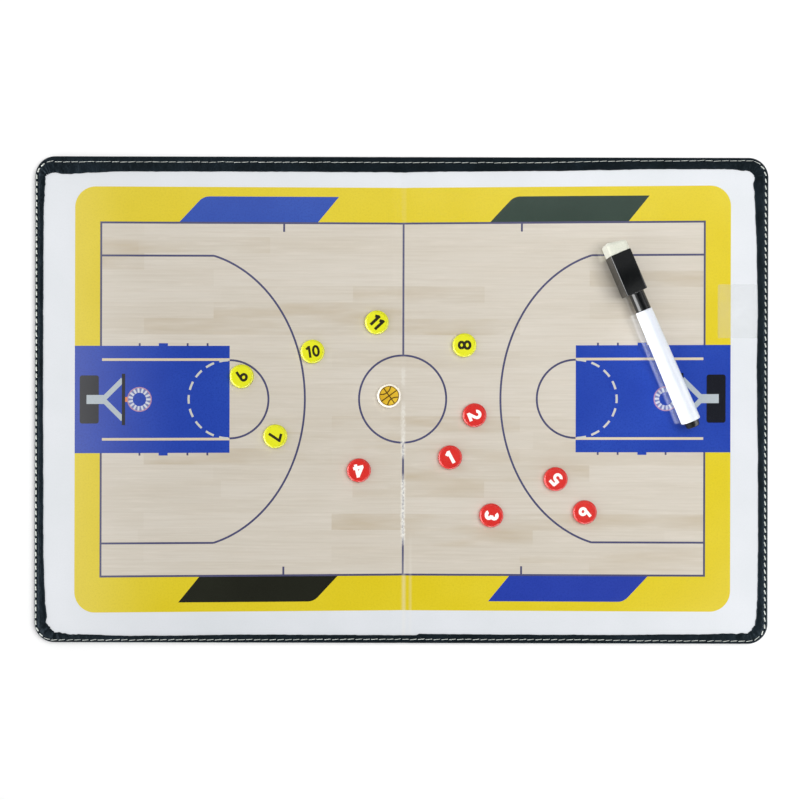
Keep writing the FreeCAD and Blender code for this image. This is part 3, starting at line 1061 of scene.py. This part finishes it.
def build_film():
    """The print as flat inks in one film, cut finely over the spine, with a flat map of its places."""
    low_y, high_y = FILM_LOW.y, FILM_HIGH.y
    count = 2 * round(HALF_SPINE / FILM_STEP)
    columns = [-HALF_SPINE + 2 * HALF_SPINE * i / count for i in range(count + 1)]
    rows = round((high_y - low_y) / FILM_ROW)
    levels = [low_y + (high_y - low_y) * i / rows for i in range(1, rows)]
    cuts = [((x, low_y), (x, high_y)) for x in columns]
    cuts += [((-HALF_SPINE, y), (HALF_SPINE, y)) for y in levels]
    places, triangles, names = partition(court_layers(), cuts)
    points = [(p.x, p.y, film_height(p.x, p.y)) for p in places]
    inks = sorted(PRINT_MATERIALS)
    slots = [inks.index(name) for name in names]
    piece = make_piece("print_film", points, triangles, [PRINT_MATERIALS[i] for i in inks], slots)
    flat_map = piece.data.uv_layers.new(name=PRINT_MAP)
    for loop in piece.data.loops:
        flat_map.data[loop.index].uv = piece.data.vertices[loop.vertex_index].co.xy
    return piece


PATCH_GAP = 0.03
PATCH_R = 1.0
# Rings of the patch's upper side: inset from its edge, and drop from its top
PATCH_RINGS = ((0.0, 0.03), (0.05, 0.0), (3.0, 0.02))


def build_patch():
    """Clear rectangle by the right edge, just clear of the film, with small rounded corners."""
    low, high = corners("clear_patch")
    sections = []
    for inset, height in [(0.0, low.z + PATCH_GAP)] + [(i, high.z - drop) for i, drop in PATCH_RINGS]:
        outline = box_outline(low.x + inset, high.x - inset, low.y + inset, high.y - inset, PATCH_R)
        sections.append([(x, y, height) for x, y in outline])
    return make_piece("clear_patch_film", *loft(sections), [MATERIALS["clear_film"]])


# Counters

DIGIT_STROKE = 0.2
HEAVY_STROKE = {
    "1": 0.25, "2": 0.225, "3": 0.26, "4": 0.235, "5": 0.22, "6": 0.22, "11": 0.235,
}
SINGLE_HEIGHT = 8.3
DOUBLE_HEIGHT = {"10": 7.4, "11": 7.9}
DOUBLE_STEP = {"10": 0.6, "11": 0.5}
SEAM_W = 0.72
COUNTER_TURNS = {
    "01": 28, "02": -69, "03": -101, "04": -166, "05": 133, "06": -112,
    "07": -104, "08": 90, "09": -115, "10": 9, "11": -47,
}
BALL_TURN = -54.0
DISC_SIDES = 72
SHELL_FOOT = 0.15
SHELL_CREASE = 50
LABEL_EDGE = 0.1
REDS = 6
# Ball print: breadth of its outline, and centre and radius of its side seams as shares of its radius
BALL_LINE = 0.5
SIDE_SEAM = (1.28, 0.9)


def bowl(x, y, radius, start, end, squeeze=1.0):
    return arc(x, y, radius, start, end, 6, squeeze)


def closed_round(y, radius, squeeze):
    """A closed round as two half bowls."""
    return [bowl(0, y, radius, a, a + 180, squeeze) for a in (0, 180)]


# Centre lines of the digits, of height 1 and about x = 0
TWO_BOWL = bowl(0, 0.66, 0.24, 170, -38)
SIX = closed_round(0.31, 0.21, 1.1) + [[(-0.19, 0.4), (0.13, 0.98)]]
DIGIT_PATHS = {
    "0": closed_round(0.5, 0.4, 0.56),
    "1": [[(0.06, 0), (0.06, 1)], [(0.1, 0.93), (-0.2, 0.74)]],
    "2": [TWO_BOWL, [TWO_BOWL[-1], (-0.24, 0.1)], [(-0.32, 0.1), (0.32, 0.1)]],
    "3": [bowl(-0.02, 0.7, 0.2, 150, -90, 1.05), bowl(-0.02, 0.3, 0.2, 90, -150, 1.25)],
    "4": [[(0.15, 0), (0.15, 1)], [(0.17, 0.93), (-0.3, 0.3)], [(-0.4, 0.28), (0.38, 0.28)]],
    "5": [
        [(-0.26, 0.9), (0.27, 0.9)],
        [(-0.2, 0.95), (-0.22, 0.46)],
        bowl(-0.02, 0.33, 0.23, 135, -150, 1.12),
    ],
    "6": SIX,
    "7": [[(-0.3, 0.9), (0.33, 0.9)], [(0.25, 0.94), (-0.08, 0)]],
    "8": closed_round(0.73, 0.19, 1.22) + closed_round(0.3, 0.21, 1.25),
    "9": [[(-x, 1 - y) for x, y in path] for path in SIX],
}


def number_outlines(number):
    """Outlines of a number's strokes, centred, in millimetres."""
    height = DOUBLE_HEIGHT.get(number, SINGLE_HEIGHT)
    step = DOUBLE_STEP.get(number, 0.0)
    stroke = HEAVY_STROKE.get(number, DIGIT_STROKE)
    outlines = []
    for n, digit in enumerate(number):
        shift = (n - (len(number) - 1) / 2) * step
        for path in DIGIT_PATHS[digit]:
            strokes = band(path, stroke)
            outlines.append([((x + shift) * height, (y - 0.5) * height) for x, y in strokes])
    return outlines


def seam_outlines(radius):
    """Outline and seams of a ball print of this radius."""
    seams = ring_bands(0, 0, radius - BALL_LINE / 2, BALL_LINE)
    seams.append(band([(-radius, 0), (radius, 0)], SEAM_W))
    seams.append(band([(0, -radius), (0, radius)], SEAM_W))
    for side in (0, 180):
        x = radius * SIDE_SEAM[0] * math.cos(math.radians(side))
        seams.append(band(arc(x, 0, radius * SIDE_SEAM[1], side + 110, side + 250, 5), SEAM_W))
    return seams


def disc_of(node):
    """Lowest and highest corner, middle and radius of a round CAD node."""
    low, high = corners(node)
    return low, high, (low + high) / 2, (high.x - low.x) / 2


def build_shell(tag, slot):
    """Moulded disc with a rounded upper edge, flat on top under its label."""
    node = "counter_" + tag + "_shell"
    low, high, middle, radius = disc_of(node)
    round_r = radius - disc_of("counter_" + tag + "_label")[-1]
    profile = [(radius - SHELL_FOOT, low.z), (radius, low.z + SHELL_FOOT)]
    profile += arc(radius - round_r, high.z - round_r, round_r, 0, 90, 11.25)
    skin = loft([disc_ring(middle, r, z) for r, z in profile])
    piece = sharp_edges(make_piece("counter_" + tag, *skin, [MATERIALS[slot]]), SHELL_CREASE)
    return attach(stand_for(piece, slot, node), "counter_" + tag)


def disc_ring(middle, radius, height):
    turns = [2 * math.pi * i / DISC_SIDES for i in range(DISC_SIDES)]
    return [(middle.x + radius * math.cos(t), middle.y + radius * math.sin(t), height) for t in turns]


def build_label(tag, slot, ink_slot, outlines, turn):
    """Printed disc: its face is split into paper and ink."""
    node = "counter_" + tag + "_label"
    low, high, middle, radius = disc_of(node)
    disc = [(x - middle.x, y - middle.y) for x, y, _ in disc_ring(middle, radius - LABEL_EDGE, 0.0)]
    layers = [("paper", disc)] + [("ink", outline) for outline in outlines]
    places, triangles, names = partition(layers)
    turned = Matrix.Rotation(math.radians(turn), 2)
    spots = [turned @ Vector(p) for p in places]
    points = [(middle.x + p.x, middle.y + p.y, high.z) for p in spots]
    slots = [int(name == "ink") for name in names]
    rim = [disc_ring(middle, radius, low.z), disc_ring(middle, radius, high.z - LABEL_EDGE)]
    rim.append(disc_ring(middle, radius - LABEL_EDGE, high.z))
    rim_points, rim_faces = loft(rim, False)
    start = len(points)
    points += rim_points
    faces = triangles + [tuple(start + i for i in face) for face in rim_faces]
    slots += [0] * len(rim_faces)
    piece = make_piece("label_" + tag, points, faces, [MATERIALS[slot], MATERIALS[ink_slot]], slots, False)
    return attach(stand_for(piece, slot, node), "counter_" + tag)


def build_counters():
    for tag, turn in COUNTER_TURNS.items():
        red = int(tag) <= REDS
        colour = "red" if red else "yellow"
        build_shell(tag, "counter_" + colour)
        outlines = number_outlines(str(int(tag)))
        build_label(tag, "label_" + colour, "ink_white" if red else "ink_black", outlines, turn)
    build_shell("ball", "counter_white")
    seams = seam_outlines(disc_of("counter_ball_label")[-1])
    build_label("ball", "label_ball", "ink_seam", seams, BALL_TURN)


# Marker: its own axis runs from the felt end to the tail

TURNED_SIDES = 64


class MarkerAxis:
    """The marker's axis in the frame: measures nodes from it and carries points along it."""

    def __init__(self):
        joint = next(j for j in frame["joints"] if j["name"] == "marker_uncap")
        self.along = Vector(joint["axis"]).normalized()
        self.across = Vector((-self.along.y, self.along.x, 0.0))
        self.start = Vector()
        _, sides, levels = self.spans("marker_barrel")
        self.start = self.carry(0.0, sum(sides) / 2, sum(levels) / 2)

    def places(self, node):
        """Points of a node as places along the axis, across it and above it."""
        ways = np.array((self.along, self.across, (0.0, 0.0, 1.0)))
        return (points_of(node) - np.array(self.start)) @ ways.T

    def spans(self, node):
        """Least and greatest place of a node along the axis, across it and above it."""
        places = self.places(node)
        return list(zip(places.min(axis=0).tolist(), places.max(axis=0).tolist()))

    def radii(self, node, along):
        """Least and greatest distance from the axis of a node's points at one place along it."""
        places = self.places(node)
        here = places[np.abs(places[:, 0] - along) < NEAR]
        distance = np.hypot(here[:, 1], here[:, 2])
        return float(distance.min()), float(distance.max())

    def carry(self, along, across, up):
        return self.start + self.along * along + self.across * across + Vector((0, 0, up))

    def turned_ring(self, along, radius):
        turns = [2 * math.pi * (i + 0.5) / TURNED_SIDES for i in range(TURNED_SIDES)]
        return [self.carry(along, radius * math.cos(t), radius * math.sin(t)) for t in turns]

    def boxed_ring(self, along, sides, levels, radius, count=TURNED_SIDES, skew=0.0):
        """A rounded rectangle across the axis, in step with a turned ring; skew tips it out of square."""
        per_corner = count // 4
        middle = sum(sides) / 2
        ring = []
        for corner, (right, top) in enumerate(((1, 1), (0, 1), (0, 0), (1, 0))):
            for i in range(per_corner):
                turn = math.radians(90 * (corner + i / (per_corner - 1)))
                x = sides[right] + radius * (math.cos(turn) - (2 * right - 1))
                y = levels[top] + radius * (math.sin(turn) - (2 * top - 1))
                ring.append(self.carry(along + skew * (x - middle) / (sides[1] - middle), x, y))
        return ring


def shrunk(span, inset):
    """A span made shorter at both ends."""
    return span[0] + inset, span[1] - inset


CAP_ROUND = 1.1
CAP_EDGE = 0.4
CAP_GAP = 0.02
SKIRT_FLARE = 0.35
SKIRT_EDGE = 0.3
FELT_L = 7.3
FELT_SKEW = 0.9
FELT_ROUND = 2.2
FELT_STEP = 0.55
FELT_FUZZ = 0.16
FELT_SEED = 1
FELT_FACE = 1.7
FELT_CORNER = 0.6
FELT_SIDES = 96
BARREL_EDGE = 0.6
TAIL_ROUND = 1.2
TAIL_PINCH = 0.2
MARKER_CREASE = 40
CHAMFER = 0.3
END_STEP = 15
FELT_GRAIN = 0.9


def build_cap(axis):
    """Box of the cap, just clear of the film, and its round skirt, bored for the pen's front."""
    (start, end), sides, (bottom, top) = axis.spans("marker_cap")
    levels = (bottom + CAP_GAP, top)
    places = axis.places("marker_cap")
    box_end = float(places[places[:, 1] < sides[0] + NEAR, 0].max())
    bore, skirt = axis.radii("marker_cap", end)
    sections = []
    for along, inset in (
        (start, CAP_EDGE),
        (start + CHAMFER * CAP_EDGE, CHAMFER * CAP_EDGE),
        (start + CAP_EDGE, 0.0),
        (box_end - CAP_EDGE, 0.0),
        (box_end - CHAMFER * CAP_EDGE, CHAMFER * CAP_EDGE),
        (box_end, CAP_EDGE),
    ):
        sections.append(axis.boxed_ring(along, shrunk(sides, inset), shrunk(levels, inset), CAP_ROUND))
    for along, radius in (
        (box_end, skirt + SKIRT_FLARE),
        (box_end + SKIRT_FLARE, skirt),
        (end - SKIRT_EDGE, skirt),
        (end, skirt - SKIRT_EDGE),
        (end, bore + SKIRT_EDGE),
        (end - SKIRT_EDGE, bore),
        (axis.spans("marker_nib")[0][0] - SKIRT_EDGE, bore),
    ):
        sections.append(axis.turned_ring(along, radius))
    piece = sharp_edges(make_piece("cap", *loft(sections), [MATERIALS["black_plastic"]]), MARKER_CREASE)
    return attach(stand_for(piece, "black_plastic", "marker_cap"), "marker_capped_end")


def build_felt(axis):
    """Felt pad on the cap's end, cut a little askew, with a soft uneven skin."""
    noise.seed_set(FELT_SEED)
    (_, end), sides, levels = axis.spans("marker_eraser")
    start = end - FELT_L
    turns = [math.radians(a) for a in range(0, 91, 10)]
    rounding = [(start + FELT_ROUND * (1 - math.cos(t)), FELT_ROUND * (1 - math.sin(t))) for t in turns]
    straight = FELT_L - FELT_ROUND
    steps = round(straight / FELT_STEP)
    body = [(start + FELT_ROUND + straight * i / steps, 0.0) for i in range(1, steps + 1)]
    sections = []
    for along, inset in [(start, FELT_ROUND * FELT_FACE)] + rounding + body:
        corner_r = max(FELT_CORNER, FELT_ROUND - inset / 2)
        skew = FELT_SKEW * (end - along) / FELT_L
        spans = shrunk(sides, inset), shrunk(levels, inset)
        sections.append([fuzz(p) for p in axis.boxed_ring(along, *spans, corner_r, FELT_SIDES, skew)])
    piece = make_piece("felt_pad", *loft(sections), [MATERIALS["felt"]])
    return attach(stand_for(piece, "felt", "marker_eraser"), "marker_capped_end")


def fuzz(point):
    """A point of the felt, moved a little by its matted surface."""
    return point + noise.noise_vector(point * FELT_GRAIN) * FELT_FUZZ


def build_turned(axis, name, node, profile, slot, body):
    """A turned piece of the marker from its profile: places along the axis and radii."""
    skin = loft([axis.turned_ring(along, radius) for along, radius in profile])
    piece = sharp_edges(make_piece(name, *skin, [MATERIALS[slot]]), MARKER_CREASE)
    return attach(stand_for(piece, slot, node), body)


def rounded_end(along, radius, round_r, way):
    """Profile points round an outer edge at an end face; way is 1 where the axis runs out of it."""
    points = []
    for angle in range(0, 91, END_STEP):
        turn = math.radians(angle)
        drop = round_r * (1 - math.cos(turn))
        points.append((along - way * round_r * (1 - math.sin(turn)), radius - drop))
    return points if way > 0 else points[::-1]


def build_marker():
    axis = MarkerAxis()
    build_cap(axis)
    build_felt(axis)
    start, end = axis.spans("marker_barrel")[0]
    hole, front = axis.radii("marker_barrel", start)
    back = axis.radii("marker_barrel", end)[1]
    inside, tip = axis.spans("marker_tail_plug")[0]
    spigot = axis.radii("marker_tail_plug", inside)[1]
    base = axis.radii("marker_tail_plug", end)[1]
    tail_end = axis.radii("marker_tail_plug", tip)[1] + TAIL_ROUND
    barrel = [(start, hole)] + rounded_end(start, front, BARREL_EDGE, -1)
    barrel += rounded_end(end, back, BARREL_EDGE, 1) + [(end, base - TAIL_PINCH)]
    build_turned(axis, "barrel", "marker_barrel", barrel, "white_plastic", "marker_pen")
    tail = [(inside, spigot), (end, spigot), (end, base)] + rounded_end(tip, tail_end, TAIL_ROUND, 1)
    build_turned(axis, "tail_plug", "marker_tail_plug", tail, "black_plastic", "marker_pen")


# Pieces that keep their CAD shape


def dress_frame_nodes():
    """Gives every remaining CAD node its finish."""
    finishes = {
        "stiff_board": "grey_board",
        "steel_sheet": "steel_sheet",
        "magnet": "magnet",
        "marker_front_section": "black_plastic",
        "marker_nib": "nib_fibre",
        "marker_ink_reservoir": "ink_fibre",
    }
    for name, node in frame["nodes"].items():
        for ending, slot in finishes.items():
            if name.endswith(ending):
                node.data.materials.clear()
                node.data.materials.append(MATERIALS[slot])


# Stage

FLOOR_REACH = 20.0


def build_floor():
    mesh = bpy.data.meshes.new("floor")
    outline = box_outline(-FLOOR_REACH, FLOOR_REACH, -FLOOR_REACH, FLOOR_REACH)
    mesh.from_pydata([(x, y, 0.0) for x, y in outline], [], [(0, 1, 2, 3)])
    shader = Shader("floor_paper", Roughness=0.9, Specular_IOR_Level=0.1)
    clouds = shader.noise(shader.place(), 3.0)
    shader.paint("Base Color", shader.mix(clouds, srgb(252, 252, 252), srgb(255, 255, 255)))
    mesh.materials.append(shader.material)
    floor = bpy.data.objects.new("floor", mesh)
    bpy.context.scene.collection.objects.link(floor)
    return floor


# Lamps: place, size and power; sheen is true for those that only show as reflections, and the others
# show in none
Lamp = namedtuple("Lamp", "place size power sheen")
LAMPS = {
    "key": Lamp((0.6, 0.2, 1.4), (1.0, 1.0), 19.0, False),
    "fill": Lamp((-1.4, -0.5, 0.25), (2.0, 0.4), 27.0, False),
    "strip": Lamp((-1.2, -0.45, 0.6), (2.0, 1.2), 54.0, True),
    "rim": Lamp((0.45, -1.3, 0.6), (1.4, 0.9), 32.0, True),
    "left_sheen": Lamp((-1.2, -0.25, 0.55), (1.4, 1.0), 12.0, True),
    "right_sheen": Lamp((1.2, -0.25, 0.55), (1.4, 1.0), 14.0, True),
    "low_left": Lamp((-1.2, -0.3, 0.04), (1.4, 0.06), 18.0, False),
}


def soft_light(name, spared=()):
    """A rectangular lamp turned towards the board; the spared pieces aren't lit by it."""
    plan = LAMPS[name]
    lamp = bpy.data.lights.new(name, "AREA")
    lamp.shape = "RECTANGLE"
    lamp.size, lamp.size_y = plan.size
    lamp.energy = plan.power
    holder = bpy.data.objects.new(name, lamp)
    holder.location = plan.place
    holder.rotation_euler = (-Vector(plan.place)).to_track_quat("-Z", "Y").to_euler()
    holder.visible_glossy = plan.sheen
    holder.visible_diffuse = not plan.sheen
    bpy.context.scene.collection.objects.link(holder)
    if spared:
        group = bpy.data.collections.new(name + "_spared")
        holder.light_linking.receiver_collection = group
        for piece in spared:
            group.objects.link(piece)
        for entry in group.collection_objects:
            entry.light_linking.link_state = "EXCLUDE"


def build_lamps(cover, film, patch, floor):
    """All lamps, each with the pieces that it doesn't light; the last one lights only the barrel."""
    flat = (film, patch, floor)
    labels = tuple(o for o in bpy.data.objects if o.name.startswith("label_"))
    dull = flat + labels + (cover, bpy.data.objects["tail_plug"])
    not_barrel = tuple(o for o in bpy.data.objects if o.type == "MESH" and o.name != "barrel")
    soft_light("key")
    soft_light("fill", flat)
    soft_light("strip", dull)
    soft_light("rim", dull)
    soft_light("left_sheen", flat + labels)
    soft_light("right_sheen", flat + labels)
    soft_light("low_left", not_barrel)


SKY_OVERHEAD = 0.03
# Glows of the sky: coordinate of the direction, where the glow starts, where it is full, and its level
SKY_GLOWS = (
    ("z", 0.96, 0.8, 0.4),
    ("x", -0.19, -0.33, 0.8),
    ("y", 0.03, 0.3, 0.36),
    ("x - y", 0.34, 0.52, 0.45),
)


def build_sky():
    """Soft surroundings, dark overhead so that the print isn't veiled, and brightest on the left."""
    world = bpy.data.worlds.new("studio")
    bpy.context.scene.world = world
    world.use_nodes = True
    sky = Nodes(world.node_tree)
    parts = sky.node("SeparateXYZ", Vector=sky.node("TexCoord").outputs["Generated"])
    x, y, z = parts.outputs
    ways = {"x": x, "y": y, "z": z, "x - y": sky.math("SUBTRACT", x, y)}
    light = 0.0
    for way, start, full, level in SKY_GLOWS:
        light = sky.math("MAXIMUM", sky.ramp(ways[way], 0.0, level, start, full, "SMOOTHSTEP"), light)
    background = sky.tree.nodes["Background"]
    sky.feed(background.inputs["Color"], sky.math("ADD", light, SKY_OVERHEAD))


SENSOR = 36.0


def build_camera():
    """Camera straight above, rolled a little as the photograph is."""
    lens = bpy.data.cameras.new("camera")
    lens.sensor_width = SENSOR
    lens.lens = SENSOR * CAMERA_UP / VIEW_WIDTH
    camera = bpy.data.objects.new("camera", lens)
    camera.location = (CAMERA_X * MM, 0.0, (CAMERA_UP + FILM_TOP) * MM)
    camera.rotation_euler = (0.0, 0.0, math.radians(CAMERA_ROLL))
    bpy.context.scene.collection.objects.link(camera)
    bpy.context.scene.camera = camera


build_camera()
floor = build_floor()
build_sky()
bpy.context.scene.view_settings.view_transform = "Standard"

hem_stations, long_stations, short_stations = edge_stations()
cover = bend_at_spine(build_cover(hem_stations, long_stations, short_stations))
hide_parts("left_cover_skin", "right_cover_skin", "spine_cover_strip")
stitching = bend_at_spine(build_stitches(hem_stations))
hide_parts("left_edge_stitching", "right_edge_stitching", "spine_stitching")
film = bend_at_spine(build_film())
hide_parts("left_print_film", "right_print_film", "spine_film_strip")
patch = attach(build_patch(), "right_leaf")
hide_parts("clear_patch")
build_counters()
build_marker()
dress_frame_nodes()
build_lamps(cover, film, patch, floor)
